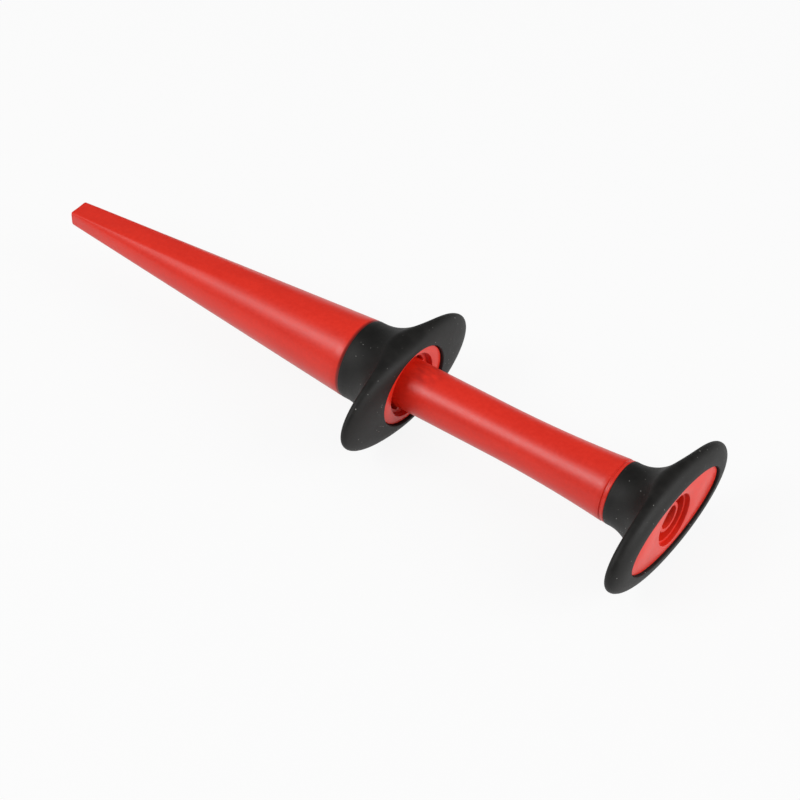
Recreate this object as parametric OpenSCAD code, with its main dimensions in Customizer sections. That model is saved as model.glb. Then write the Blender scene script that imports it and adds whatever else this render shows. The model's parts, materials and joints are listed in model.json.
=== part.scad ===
// Grabber test hook. A spring-loaded plunger pushes a small flat hook out of an insulated nose.
// Lengths are in millimetres. X runs from the nose tip to the rear socket, Y along the wings, Z up.
// Stations are measured from the nose tip along X, and the axis of the tool is a revolve axis.

/* [Nose] */
// Length of the bare nose, from its tip to the rubber
nose_len = 65.6; // [60:0.1:74]
// Radius of the nose cone at its tip
tip_r = 2.35; // [2.2:0.05:3]
// Radius of the nose cone where the rubber starts
seam_r = 7.25; // [7.1:0.05:8.4]
// Half width of the nose at its tip
tip_half_w = 2.05; // [1.95:0.05:2.8]
// Half height of the nose at its tip
tip_half_h = 1.45; // [1.4:0.05:2.4]
// Length of the flats above and below the nose
flat_len = 42; // [24:1:50]
// Length of the flats on the sides of the nose
side_flat_len = 24; // [12:1:40]
// Bevel round the mouth of the nose
tip_bevel = 0.3; // [0.1:0.05:0.4]
// Length of the bevel at the rear end of the nose
seam_bevel = 0.5; // [0.2:0.1:0.8]

/* [Body grip] */
// Length of the body grip along the axis
body_grip_len = 11; // [10.6:0.1:14]
// Half span of the body grip's wings
body_wing = 17.7; // [15.5:0.1:22]
// Half height of the body grip
body_height = 8.9; // [8.4:0.1:9.6]
// Rounding of the body grip's rim towards its collar
body_lobe_r = 0.7; // [0.5:0.05:1.1]
// Rise of the body grip's crowned rear from its rim to the oval collar
body_crown = 2; // [1.2:0.1:2.2]
// Rounding of the body grip's rim over the middle, above and below the axis
body_middle_r = 4; // [1:0.1:4.5]
// Rise of the body grip's crowned rear over the middle
body_middle_crown = 4.4; // [2.2:0.1:4.8]
// Straight length of the body grip's collar
body_collar_len = 1; // [0.4:0.1:2]
// Thickness of the rubber over the collar of the body grip
body_rubber = 0.65; // [0.4:0.05:0.9]
// Length of the rubber beyond the core at each wing of the body grip
wing_rubber = 7.5; // [7.2:0.1:8.5]
// Height of the core plate above the guide collar
core_rim = 0.3; // [0.25:0.05:0.4]
// Thickness of the core plate inside the body grip
core_plate = 1; // [0.6:0.1:1.2]

/* [Guide collar] */
// Half width of the oval guide collar
collar_half_w = 8.4; // [8:0.1:9]
// Half height of the oval guide collar
collar_half_h = 6.8; // [6.4:0.1:6.8]
// Thickness of the guide collar's plate
collar_plate = 1.4; // [1.3:0.1:1.6]
// Radius of the wide mouth in the guide collar
collar_mouth_r = 5.9; // [5.4:0.05:6]
// Depth of the wide mouth in the guide collar
collar_mouth = 1.1; // [0.5:0.1:1.1]
// Length of the guide collar's spigot in the barrel
collar_spigot = 3; // [2:0.1:5]
// Angle of the assembly notches from the wings
notch_angle = 38; // [0:1:60]

/* [Plunger] */
// Travel of the plunger and its hook
hook_travel = 16; // [8:0.5:18]
// Radius of the plunger tube at the guide collar
tube_r = 4.5; // [4.4:0.05:4.8]
// Radius of the plunger tube at its rear lip
tube_rear_r = 5.6; // [5.3:0.05:6.4]
// Exposed length of the plunger tube
tube_len = 41.4; // [36:0.2:60]
// Straight length of the exposed tube before it flares
tube_straight = 17; // [16:0.5:22]
// Wall of the hollow front of the plunger tube
tube_wall = 0.75; // [0.6:0.05:0.9]
// Width of each retaining lug of the plunger
lug_w = 2.6; // [2:0.1:3.4]
// Length of each retaining lug of the plunger
lug_len = 2.5; // [1.5:0.1:4]
// Height of each retaining lug above the tube
lug_h = 0.5; // [0.4:0.05:0.6]
// Width of the groove before the rear lip
lip_groove = 0.4; // [0.3:0.05:1]
// Depth of the groove before the rear lip
groove_depth = 0.2; // [0.1:0.05:0.4]
// Width of the rear lip of the tube
lip_w = 0.5; // [0.4:0.05:1.2]

/* [Plunger grip] */
// Length of the plunger grip along the axis
plunger_grip_len = 10.5; // [10:0.1:14]
// Half span of the plunger grip's wings
plunger_wing = 18; // [16.5:0.1:22]
// Half height of the plunger grip
plunger_height = 8.9; // [8.4:0.1:9.6]
// Radius of the plunger grip's collar
plunger_collar_r = 5.65; // [5.5:0.05:5.8]
// Rounding of the plunger grip's rim towards its collar
plunger_lobe_r = 0.8; // [0.6:0.05:1.2]
// Rise of the plunger grip's crowned rear from its rim to the oval face
plunger_crown = 1.9; // [1.2:0.1:2]
// Rounding of the plunger grip's rim over the middle, above and below the axis
plunger_middle_r = 4; // [1.2:0.1:4.5]
// Rise of the plunger grip's crowned rear over the middle
plunger_middle_crown = 3.4; // [2:0.1:4]
// Straight length of the plunger grip's collar
plunger_collar_len = 0.7; // [0.4:0.1:1.6]
// Thickness of the rubber over the collar of the plunger grip
plunger_rubber = 0.45; // [0.3:0.05:0.5]
// Half width of the oval rear face
face_half_w = 13.3; // [11:0.1:13.8]
// Half height of the oval rear face
face_half_h = 5.9; // [5.6:0.1:6.4]
// Thickness of the oval rear face
face_plate = 1; // [0.9:0.05:1.2]

/* [Socket] */
// Bore radius of the jack, for a 4 mm plug
jack_bore_r = 2.02; // [2.01:0.005:2.04]
// Wall of the jack's contact sleeve
jack_wall = 0.25; // [0.2:0.05:0.3]
// Width of the flange round the jack's sleeve
jack_rim = 0.7; // [0.4:0.05:0.8]
// Thickness of the jack's flange
jack_flange_t = 0.8; // [0.5:0.1:1]
// Wall of the jack's tail round the rod
tail_wall = 0.5; // [0.4:0.05:0.6]
// Length of the tail in front of the bulkhead
tail_out = 3; // [2:0.5:4]
// Depth of the rod's hole in the tail
tail_bore = 5; // [3:0.5:6]
// Radius of the round well for the plug's shroud
well_r = 4.15; // [4.1:0.05:4.4]
// Depth of the well below the rear face
well_depth = 21; // [19:0.5:24]
// Width of the ledge round the mouth of the well
well_ledge = 0.55; // [0.3:0.05:0.8]
// Depth of the ledge below the rear face
ledge_depth = 0.8; // [0.4:0.1:1.2]
// Wall of the insulating tower round the jack
tower_wall = 0.35; // [0.3:0.05:0.45]
// Depth of the insulating tower's end below the rear face
tower_drop = 1; // [0.6:0.1:3]
// Height of the insulating tower above the jack's sleeve
tower_guard = 1.4; // [0.8:0.1:2]
// Thickness of the tower's base
tower_base = 2; // [1.5:0.1:3]
// Thickness of the wall between the well and the spring
bulkhead = 4; // [3:0.5:6]

/* [Hook] */
// Radius of the hook's rod
rod_r = 1.2; // [1.1:0.05:1.3]
// Length of the rod in front of the spring's seat
rod_lead = 5.85; // [4.5:0.05:7]
// Thickness of the flat hook
blade_t = 0.7; // [0.5:0.05:0.8]
// Half width of the flat hook's shank
blade_half_w = 0.9; // [0.8:0.05:1]
// Half width of the flat hook at its bend
bend_half_w = 1.15; // [1.1:0.05:1.2]
// Radius of the hook's throat
throat_r = 0.4; // [0.3:0.05:0.45]
// Length of the hook's point behind its bend
point_len = 1.7; // [1:0.1:2]
// Width of the hook's point at its end
nib_w = 0.35; // [0.2:0.05:0.5]
// Length of the hook's neck behind its bend
neck_len = 3.8; // [3.5:0.1:4.2]
// Station of the hook's end inside the nose
hook_set_back = 1; // [0.5:0.1:2]
// Length of the bare hook in front of its jacket
bare_len = 6.5; // [5.8:0.1:9]
// Wall of the hook's insulating jacket
jacket_wall = 0.25; // [0.15:0.05:0.25]
// Length of the hook's tang in the rod
tang_len = 6; // [4:0.5:8]
// Radius of the rivet through the tang
rivet_r = 0.45; // [0.3:0.05:0.5]

/* [Return spring] */
// Wire diameter of the spring
wire_d = 0.7; // [0.5:0.05:0.8]
// Turns of the spring
spring_turns = 18; // [12:1:24]
// Length of the spring's pocket in the nose
pocket_len = 17; // [12:0.5:19]
// Thickness of the washer under the spring
washer_t = 0.5; // [0.3:0.1:1]

/* [Clearances] */
// Gap round the plunger and the hook where they slide
slide_gap = 0.2; // [0.15:0.01:0.25]
// Gap round the rod and the hook in the nose
hook_gap = 0.3; // [0.25:0.01:0.35]
// Gap at the plunger's stops
stop_gap = 0.1; // [0.05:0.01:0.2]
// Depth of the guide collar below the rubber
collar_sink = 0.5; // [0.3:0.05:0.6]
// Depth of the oval rear face below the rubber
face_sink = 0.45; // [0.3:0.05:0.6]
// Flat width of the rubber round the oval faces
rubber_land = 0.15; // [0.1:0.05:0.3]
// Gap round the oval faces in the rubber
face_gap = 0.12; // [0.05:0.01:0.2]
// Gap round the plug's pin in the mouth of the tower
plug_gap = 0.06; // [0.05:0.01:0.1]
// Gap round parts that are pushed into place
seat_gap = 0.02; // [0.01:0.01:0.05]

/* [Hidden] */
$fn = 96;
eps = 0.01;

// Stations along the outside of the tool
body_end = nose_len + body_grip_len;
lip_end = body_end + tube_len;
rear = lip_end + plunger_grip_len;
axis_z = max(body_height, plunger_height);

// The barrel's inside, from the rear to the tip
collar_r = tube_r + slide_gap;
lug_r = tube_r + lug_h;
bore_r = lug_r + slide_gap;
collar_back = body_end - collar_sink;
collar_seat = collar_back - collar_plate;
collar_front = collar_seat - collar_spigot;
plunger_front = collar_front - stop_gap - lug_len;
bore_front = plunger_front - hook_travel - 5 * stop_gap;
spring_seat = bore_front - pocket_len;
core_r = seam_r - body_rubber;
core_half_w = body_wing - wing_rubber;
core_half_h = collar_half_h + core_rim;

// The plunger's inside
hollow_r = tube_r - tube_wall;
face_back = rear - face_sink;
face_front = face_back - face_plate;
well_floor = face_back - well_depth;
bulkhead_front = well_floor - bulkhead;
handle_core_r = plunger_collar_r - plunger_rubber;
jack_r = jack_bore_r + jack_wall;
tower_in_r = jack_r + 6 * seat_gap;
tower_r = tower_in_r + tower_wall;
jack_flange_r = jack_r + jack_rim;
tower_top = face_back - tower_drop;
jack_mouth = tower_top - tower_guard;
jack_len = jack_mouth - well_floor - jack_flange_t;
tail_r = rod_r + tail_wall;
tail_front = bulkhead_front - tail_out;

// The hook
rod_front = spring_seat - rod_lead;
guide_r = rod_r + hook_gap;
slot_half_w = bend_half_w + hook_gap;
jacket_half_w = blade_half_w + jacket_wall;
jacket_half_t = blade_t / 2 + jacket_wall;
slot_half_t = jacket_half_t + slide_gap;
guide_front = rod_front - hook_travel - 5 * stop_gap;
jacket_front = hook_set_back + bare_len;
jacket_back = rod_front - stop_gap;
tang_back = rod_front + tang_len;
rod_back = tail_front + tail_bore - stop_gap;

// The spring
spring_r = hollow_r - slide_gap - wire_d / 2;
pocket_r = spring_r + wire_d / 2 + slide_gap;
spring_front = spring_seat + washer_t;
spring_back = bulkhead_front - stop_gap;

red = [0.80, 0.12, 0.09];
black = [0.05, 0.05, 0.05];
nickel = [0.78, 0.76, 0.70];
steel = [0.62, 0.63, 0.65];
ivory = [0.85, 0.82, 0.74];

// Radius of the nose cone at a station
function cone_r(x) = tip_r + (seam_r - tip_r) * x / nose_len;

// Moves a shape from its station to the tool's frame, with the axis at its height
module at_station(x) translate([x - rear / 2, 0, axis_z]) children();

// Turns a shape made along Z to lie along X from a station
module along_axis(x) at_station(x) rotate([0, 90, 0]) children();

// A round bar or bore between two stations
module bar(from, to, r) along_axis(from) cylinder(h = to - from, r = r);

// An oval plate between two stations
module oval(from, to, half_w, half_h)
    along_axis(from) linear_extrude(to - from) scale([half_h / half_w, 1]) circle(half_w);

// Points along an arc
function arc(mid, r, from, to, steps = 12) =
    [for (i = [0:steps]) let(a = from + (to - from) * i / steps) mid + r * [cos(a), sin(a)]];

// Radius of an oval in a direction measured from its wide axis
function oval_r(half_w, half_h, a) = 1 / norm([cos(a) / half_w, sin(a) / half_h]);

// Rubber grip: a round collar that flares out to an oval rim with two wings, lofted round the axis. The rim
// is slim at the wings and broad over the middle. The rear rises in a crown from the rim to the oval face.
// The inside follows the core's radius, the plate in the wings and the mouth round the oval face.
module rubber_grip(from, len, collar, wing, height, lobes, crowns, straight, core, plate_t, plate,
        mouth_t, mouth) {
    spokes = 72;
    squeeze = sqrt(wing / height);
    // One spoke: up a flare that touches the collar and the round rim, and over the crown to the mouth
    function outside(a) =
        let(middle = sin(a) * sin(a), lobe = lobes[0] + (lobes[1] - lobes[0]) * middle,
            crown = crowns[0] + (crowns[1] - crowns[0]) * middle, edge = len - crown, reach = edge - straight,
            top = oval_r(wing, height, a), rise = top - lobe - collar,
            flare = (reach * reach + rise * rise - lobe * lobe) / (2 * (rise + lobe)),
            lean = atan2(rise - flare, reach), spread = top - oval_r(mouth[0], mouth[1], a) - rubber_land)
        concat([[0, collar]], arc([straight, collar + flare], flare, -90, lean, 9),
            [for (i = [1:4]) let(b = lean + 180 - (lean + 90) * i / 4)
                [edge, top - lobe] + lobe * [cos(b), sin(b)]],
            [for (b = [75:-15:0]) [edge + crown * cos(b), top - spread * (1 - sin(b))]]);
    function inside(a) = let(plate_r = oval_r(plate[0], plate[1], a), mouth_r = oval_r(mouth[0], mouth[1], a))
        [[len, mouth_r], [len - mouth_t, mouth_r], [len - mouth_t, plate_r],
         [len - mouth_t - plate_t, plate_r], [len - mouth_t - plate_t, core], [0, core]];
    loops = [for (i = [0:spokes - 1]) let(t = 360 * i / spokes, a = atan2(sin(t), squeeze * cos(t)))
        [for (p = concat(outside(a), inside(a))) [p[0], p[1] * cos(a), p[1] * sin(a)]]];
    count = len(loops[0]);
    points = [for (loop = loops, p = loop) p];
    faces = [for (i = [0:spokes - 1], k = [0:count - 1])
        let(next = (i + 1) % spokes, after = (k + 1) % count)
        [i * count + k, next * count + k, next * count + after, i * count + after]];
    at_station(from) polyhedron(points, faces, convexity = 10);
}

// Flat sides that trim the nose cone, drawn as a half height over the length of the nose
module flats(tip_half, len) {
    wide = 2 * seam_r;
    upper = [[0, tip_half - tip_bevel], [tip_bevel, tip_half], [len, cone_r(len)], [len, wide],
             [nose_len, wide]];
    lower = [for (i = [len(upper) - 1:-1:0]) [upper[i][0], -upper[i][1]]];
    linear_extrude(2 * wide, center = true) polygon(concat(upper, lower));
}

// Nose, barrel and the hidden core of the body grip in one moulding
module nose_barrel() color(red) difference() {
    union() {
        intersection() {
            along_axis(0) rotate_extrude() polygon([[0, 0], [tip_r, 0],
                [cone_r(nose_len - seam_bevel), nose_len - seam_bevel],
                [seam_r - seam_bevel / 2, nose_len], [0, nose_len]]);
            at_station(0) rotate([90, 0, 0]) flats(tip_half_h, flat_len);
            at_station(0) flats(tip_half_w, side_flat_len);
        }
        bar(nose_len - eps, collar_seat, core_r);
        oval(collar_seat - core_plate, collar_seat, core_half_w, core_half_h);
    }
    at_station((guide_front + eps) / 2 - eps)
        cube([guide_front + 3 * eps, 2 * slot_half_w, 2 * slot_half_t], center = true);
    bar(guide_front, spring_seat + eps, guide_r);
    bar(spring_seat, bore_front + eps, pocket_r);
    bar(bore_front, collar_seat + eps, bore_r);
}

// Soft rubber moulded over the rear of the barrel
module body_grip() color(black)
    rubber_grip(nose_len, body_grip_len, seam_r, body_wing, body_height, [body_lobe_r, body_middle_r],
        [body_crown, body_middle_crown], body_collar_len, core_r + seat_gap,
        core_plate, [core_half_w, core_half_h] + [seat_gap, seat_gap],
        body_end - collar_seat, [collar_half_w, collar_half_h] + [face_gap, face_gap]);

// Oval collar that guides the plunger; its notches let the lugs through when it is fitted
module guide_collar() color(red) difference() {
    union() {
        oval(collar_seat, collar_back, collar_half_w, collar_half_h);
        bar(collar_front, collar_seat + eps, bore_r - seat_gap);
    }
    bar(collar_front - eps, collar_back + eps, collar_r);
    bar(collar_back - collar_mouth, collar_back + eps, collar_mouth_r);
    along_axis(collar_front - eps) rotate(90 + notch_angle)
        translate([0, 0, (collar_back - collar_front) / 2 + eps]) intersection() {
            cube([2 * bore_r, lug_w + 2 * slide_gap, collar_back - collar_front + 2 * eps], center = true);
            cylinder(h = collar_back - collar_front + 2 * eps, r = bore_r, center = true);
        }
}

// Flat steel ring under the front end of the spring
module spring_washer() color(steel) difference() {
    bar(spring_seat, spring_front, pocket_r - slide_gap);
    bar(spring_seat - eps, spring_front + eps, guide_r + slide_gap);
}

// Round compression spring with closed end turns
module return_spring() {
    sides = 7;
    steps = 14;
    wire_r = wire_d / 2;
    rings = spring_turns * steps;
    climb = spring_back - spring_front - wire_d;
    function lift(t) = let(e = 1.5 / spring_turns, d = wire_d * 1.05 * spring_turns / climb,
                           m = (1 - 2 * e * d) / (1 - 2 * e))
        t < e ? t * d : t > 1 - e ? 1 - (1 - t) * d : e * d + (t - e) * m;
    points = [for (i = [0:rings], k = [0:sides - 1])
        let(turn = 360 * i / steps, a = 360 * k / sides, r = spring_r + wire_r * cos(a))
        [wire_r + climb * lift(i / rings) + wire_r * sin(a), r * cos(turn), r * sin(turn)]];
    walls = [for (i = [0:rings - 1], k = [0:sides - 1])
        let(a = i * sides + k, b = i * sides + (k + 1) % sides) [a, b, b + sides, a + sides]];
    front_end = [[for (k = [sides - 1:-1:0]) k]];
    back_end = [[for (k = [0:sides - 1]) rings * sides + k]];
    color(steel) at_station(spring_front)
        polyhedron(points, concat(walls, front_end, back_end), convexity = 10);
}

// Outline of the plunger tube as a radius over its length, from the lugs to the rear lip
module tube_profile() {
    flare_from = body_end + tube_straight - plunger_front;
    groove_from = lip_end - lip_w - lip_groove - plunger_front;
    lip_from = groove_from + lip_groove;
    end = lip_end - plunger_front;
    bands = 8;
    curve = [for (i = [0:bands]) let(t = i / bands)
        [tube_r + (tube_rear_r - tube_r) * t * t, flare_from + (groove_from - flare_from) * t]];
    groove_r = tube_rear_r - groove_depth;
    polygon(concat([[0, 0], [tube_r, 0]], curve, [[groove_r, groove_from], [groove_r, lip_from],
        [tube_rear_r, lip_from], [tube_rear_r, end], [0, end]]));
}

// Hollow tube, hidden core of the plunger grip and oval rear face in one moulding
module plunger_tube() color(red) difference() {
    union() {
        along_axis(plunger_front) rotate_extrude() tube_profile();
        along_axis(plunger_front) rotate(notch_angle) intersection() {
            translate([0, 0, lug_len / 2]) cube([2 * lug_r, lug_w, lug_len], center = true);
            cylinder(h = lug_len, r = lug_r);
        }
        bar(lip_end - eps, face_back, handle_core_r);
        oval(face_front, face_back, face_half_w, face_half_h);
    }
    bar(plunger_front - eps, bulkhead_front, hollow_r);
    bar(bulkhead_front - eps, well_floor + eps, tail_r + seat_gap);
    bar(well_floor, face_back + eps, well_r);
    bar(face_back - ledge_depth, face_back + eps, well_r + well_ledge);
}

// Soft rubber moulded over the rear of the plunger
module plunger_grip() color(black)
    rubber_grip(lip_end, plunger_grip_len, plunger_collar_r, plunger_wing, plunger_height,
        [plunger_lobe_r, plunger_middle_r], [plunger_crown, plunger_middle_crown],
        plunger_collar_len, handle_core_r + seat_gap, face_plate,
        [face_half_w, face_half_h] + [seat_gap, seat_gap], rear - face_back,
        [face_half_w, face_half_h] + [face_gap, face_gap]);

// Insulating tower in the well, which keeps fingers off the jack
module socket_insert() color(red) difference() {
    union() {
        bar(well_floor, well_floor + tower_base, well_r - seat_gap);
        bar(well_floor, tower_top, tower_r);
    }
    bar(well_floor - eps, well_floor + jack_flange_t + seat_gap, jack_flange_r + seat_gap);
    bar(well_floor, jack_mouth + seat_gap, tower_in_r);
    bar(jack_mouth, tower_top + eps, jack_bore_r + plug_gap);
}

// Slotted contact sleeve with a flange and a tail that passes through the bulkhead
module jack_contact() color(nickel) difference() {
    union() {
        bar(well_floor, well_floor + jack_flange_t, jack_flange_r);
        bar(well_floor, jack_mouth, jack_r);
        bar(tail_front, well_floor + eps, tail_r);
    }
    bar(well_floor + jack_flange_t, jack_mouth + eps, jack_bore_r);
    bar(tail_front - eps, tail_front + tail_bore, rod_r);
    for (turn = [0, 90])
        along_axis(well_floor + jack_flange_t + jack_len / 3) rotate(turn + 45)
            translate([-2 * jack_r, -jack_wall / 2, 0]) cube([4 * jack_r, jack_wall, jack_len]);
    clip_band(jack_r - jack_wall / 3, jack_r + eps);
}

// Ring-shaped band near the jack's mouth, shared by the clip ring and its groove
module clip_band(inner, outer) {
    band_w = 0.8;
    along_axis(jack_mouth - 3 * band_w) difference() {
        cylinder(h = band_w, r = outer);
        translate([0, 0, -eps]) cylinder(h = band_w + 2 * eps, r = inner);
    }
}

// Split spring ring that squeezes the jack's sleeve onto the plug
module jack_clip_ring() color(steel) difference() {
    clip_band(jack_r - jack_wall / 3 + seat_gap, jack_r + 3 * seat_gap);
    along_axis(jack_mouth - jack_len / 3) translate([0, -jack_wall / 2, 0])
        cube([2 * jack_r, jack_wall, jack_len]);
}

// Toothed push-on washer that holds the jack's tail at the bulkhead
module jack_lock_washer() {
    lock_t = 0.4;
    lock_r = spring_r - wire_d / 2 - slide_gap;
    teeth = 6;
    color(steel) along_axis(bulkhead_front - lock_t) {
        difference() {
            cylinder(h = lock_t, r = lock_r);
            translate([0, 0, -eps]) cylinder(h = lock_t + 2 * eps, r = tail_r + seat_gap);
            for (i = [0:teeth - 1]) rotate(i * 360 / teeth)
                translate([tail_r, -wire_d / 2, -eps]) cube([wire_d, wire_d, lock_t + 2 * eps]);
        }
    }
}

// Straight rod from the jack's tail to the hook, slotted to take the tang
module hook_rod() color(nickel) difference() {
    bar(rod_front, rod_back, rod_r - seat_gap);
    at_station(rod_front + tang_len / 2)
        cube([tang_len + 2 * stop_gap, 3 * rod_r, blade_t + 2 * seat_gap], center = true);
    rivet_pin(rivet_r + seat_gap, 3 * rod_r);
}

// Cross pin at the middle of the tang
module rivet_pin(r, len) at_station(rod_front + tang_len / 2) cylinder(h = len, r = r, center = true);

// Outline of the flat hook from its bend at the front to its tang
module hook_outline() {
    bend = [hook_set_back + bend_half_w, 0];
    point = bend[0] + point_len;
    neck = bend[0] + neck_len;
    nib = bend_half_w - throat_r - nib_w;
    polygon(concat([[point, bend_half_w - nib], [point - nib, bend_half_w]],
        arc(bend, bend_half_w, 90, 270),
        [[neck - 1, -bend_half_w], [neck, -blade_half_w], [tang_back, -blade_half_w],
         [tang_back, blade_half_w], [neck, blade_half_w], [neck - 1, -throat_r]],
        arc(bend, throat_r, 270, 90),
        [[point, throat_r]]));
}

// Flat spring-metal hook that slides out of the nose
module hook_blade() color(nickel) difference() {
    at_station(0) linear_extrude(blade_t, center = true) hook_outline();
    rivet_pin(rivet_r + seat_gap, 3 * blade_t);
}

// Small rivet that holds the hook in the rod
module blade_rivet() color(nickel)
    rivet_pin(rivet_r, 2 * sqrt(rod_r * rod_r - rivet_r * rivet_r) - 2 * seat_gap);

// Thin insulating jacket that leaves only the end of the hook bare
module hook_jacket() {
    len = jacket_back - jacket_front;
    color(ivory) at_station(jacket_front + len / 2) difference() {
        cube([len, 2 * jacket_half_w, 2 * jacket_half_t], center = true);
        cube([len + 2 * eps, 2 * (blade_half_w + seat_gap), blade_t + 2 * seat_gap], center = true);
    }
}

nose_barrel();
body_grip();
guide_collar();
spring_washer();
return_spring();
plunger_tube();
plunger_grip();
socket_insert();
jack_contact();
jack_clip_ring();
jack_lock_washer();
hook_rod();
hook_blade();
blade_rivet();
hook_jacket();
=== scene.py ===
"""Grabber test hook: detailed pieces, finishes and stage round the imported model."""

import json
import math

import bmesh
import bpy
from mathutils import Matrix, Vector


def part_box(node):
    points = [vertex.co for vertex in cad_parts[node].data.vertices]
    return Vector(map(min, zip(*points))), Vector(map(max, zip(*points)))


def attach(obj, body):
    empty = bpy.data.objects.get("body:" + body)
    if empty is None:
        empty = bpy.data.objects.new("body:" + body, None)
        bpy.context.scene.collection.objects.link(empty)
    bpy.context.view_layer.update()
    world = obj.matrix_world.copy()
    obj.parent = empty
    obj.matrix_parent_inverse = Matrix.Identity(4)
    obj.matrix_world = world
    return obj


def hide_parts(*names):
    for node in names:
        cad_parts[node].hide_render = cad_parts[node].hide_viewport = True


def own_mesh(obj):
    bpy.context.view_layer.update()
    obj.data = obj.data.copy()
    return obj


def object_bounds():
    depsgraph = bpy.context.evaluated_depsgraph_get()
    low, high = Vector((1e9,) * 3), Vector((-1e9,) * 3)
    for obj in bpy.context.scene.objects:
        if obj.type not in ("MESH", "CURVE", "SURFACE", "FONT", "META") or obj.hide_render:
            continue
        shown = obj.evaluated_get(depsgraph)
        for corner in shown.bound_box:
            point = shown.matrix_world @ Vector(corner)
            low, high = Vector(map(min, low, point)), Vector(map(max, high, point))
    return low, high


bl_info = {
    "name": "Grabber test hook",
    "version": (1, 0, 0),
    "blender": (4, 5, 0),
    "location": "View3D > Sidebar > Test hook",
    "description": "Builds the detailed pieces of a grabber test hook round its solids",
    "category": "Object",
}

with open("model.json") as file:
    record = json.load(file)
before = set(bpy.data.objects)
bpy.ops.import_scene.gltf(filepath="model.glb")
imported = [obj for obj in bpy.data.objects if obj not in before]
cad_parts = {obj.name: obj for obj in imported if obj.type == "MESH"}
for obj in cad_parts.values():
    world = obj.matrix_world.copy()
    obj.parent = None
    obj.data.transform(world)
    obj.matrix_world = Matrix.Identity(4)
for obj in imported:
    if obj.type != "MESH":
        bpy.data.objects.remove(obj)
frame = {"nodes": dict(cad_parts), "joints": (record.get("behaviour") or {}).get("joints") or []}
cad_box = [list(corner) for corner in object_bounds()]

# Places and sizes that the solids give, in metres
body_low, body_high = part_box("body_grip")
collar_low, collar_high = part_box("guide_collar")
tube_low, tube_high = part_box("plunger_tube")
plunger_low, plunger_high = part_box("plunger_grip")
tower_low, tower_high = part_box("socket_insert")
spring_low, spring_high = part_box("return_spring")
washer_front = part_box("spring_washer")[0].x
rod_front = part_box("hook_rod")[0].x
travel = frame["joints"][0]["range_m"][1]
tip_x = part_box("nose_barrel")[0].x
axis_z = (body_low.z + body_high.z) / 2

# Millimetres in a metre, in which the finishes measure their grain
millimetres = 1000
# Room that the moving pieces have beyond their stops
stop_room = 0.0005
# Small rounding at the end of a hole or collar: how far along the axis, and how far from the wall
ease_along = (0.0, 0.00004, 0.00014)
ease_out = (0.00012, 0.00004, 0.0)
well_out = (0.00012, 0.00003, 0.0)
# Slope of the sides of lugs and notches, as an angle round the axis
side_slope = 0.012


def length(name, text, default):
    """A length in metres that the user may change."""
    return bpy.props.FloatProperty(name=name, description=text, default=default, min=0.0, precision=5,
                                   subtype="DISTANCE", unit="LENGTH")


def turn(name, text, degrees):
    """An angle that the user may change."""
    return bpy.props.FloatProperty(name=name, description=text, default=math.radians(degrees),
                                   subtype="ANGLE", unit="ROTATION")


def share(name, text, default, top=1.0):
    """A plain number that the user may change."""
    return bpy.props.FloatProperty(name=name, description=text, default=default, min=0.0, max=top)


def colour(name, text, default):
    """A linear colour that the user may change."""
    return bpy.props.FloatVectorProperty(name=name, description=text, default=default, size=3, min=0.0,
                                         max=1.0, subtype="COLOR")


class NoseSizes(bpy.types.PropertyGroup):
    """Sizes of the nose and of the barrel behind it."""

    nose_length: length("Nose length", "From the tip to the rubber", body_low.x - tip_x)
    tip_radius: length("Tip radius", "Radius of the cone at the tip", 0.00235)
    seam_radius: length("Seam radius", "Radius of the cone at the rubber", 0.00725)
    tip_half_width: length("Tip half width", "Half width of the nose at the tip", 0.00205)
    tip_half_height: length("Tip half height", "Half height of the nose at the tip", 0.00145)
    flat_length: length("Flat length", "Length of the flats above and below", 0.042)
    side_flat_length: length("Side flat length", "Length of the flats on the sides", 0.024)
    edge_softness: length("Edge softness", "Blend between flats and cone at the tip", 0.00022)
    edge_fade: length("Edge fade", "Extra blend halfway along the nose", 0.0003)
    mouth_rounding: length("Mouth rounding", "Rounding round the end of the nose", 0.0003)
    seam_bevel: length("Seam bevel", "Bevel at the rear end of the nose", 0.0005)
    slot_half_width: length("Slot half width", "Half width of the hook's slot", 0.00145)
    slot_half_height: length("Slot half height", "Half height of the hook's slot", 0.0008)
    slot_depth: length("Slot depth", "Depth of the hook's slot from the tip",
                       rod_front - tip_x - travel - stop_room)
    guide_radius: length("Guide radius", "Radius of the rod's guide", 0.0015)
    pocket_radius: length("Pocket radius", "Radius of the spring's pocket", 0.00375)
    pocket_front: length("Pocket front", "From the tip to the spring's pocket", washer_front - tip_x)
    bore_front: length("Bore front", "From the tip to the plunger's bore",
                       tube_low.x - tip_x - travel - stop_room)
    bore_radius: length("Bore radius", "Radius of the plunger's bore", 0.0052)
    core_radius: length("Core radius", "Radius of the core under the rubber", 0.0066)
    core_half_width: length("Core half width", "Half width of the plate in the rubber", 0.0102)
    core_half_height: length("Core half height", "Half height of the plate in the rubber", 0.0071)
    core_plate: length("Core plate", "Thickness of the plate in the rubber", 0.001)


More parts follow.
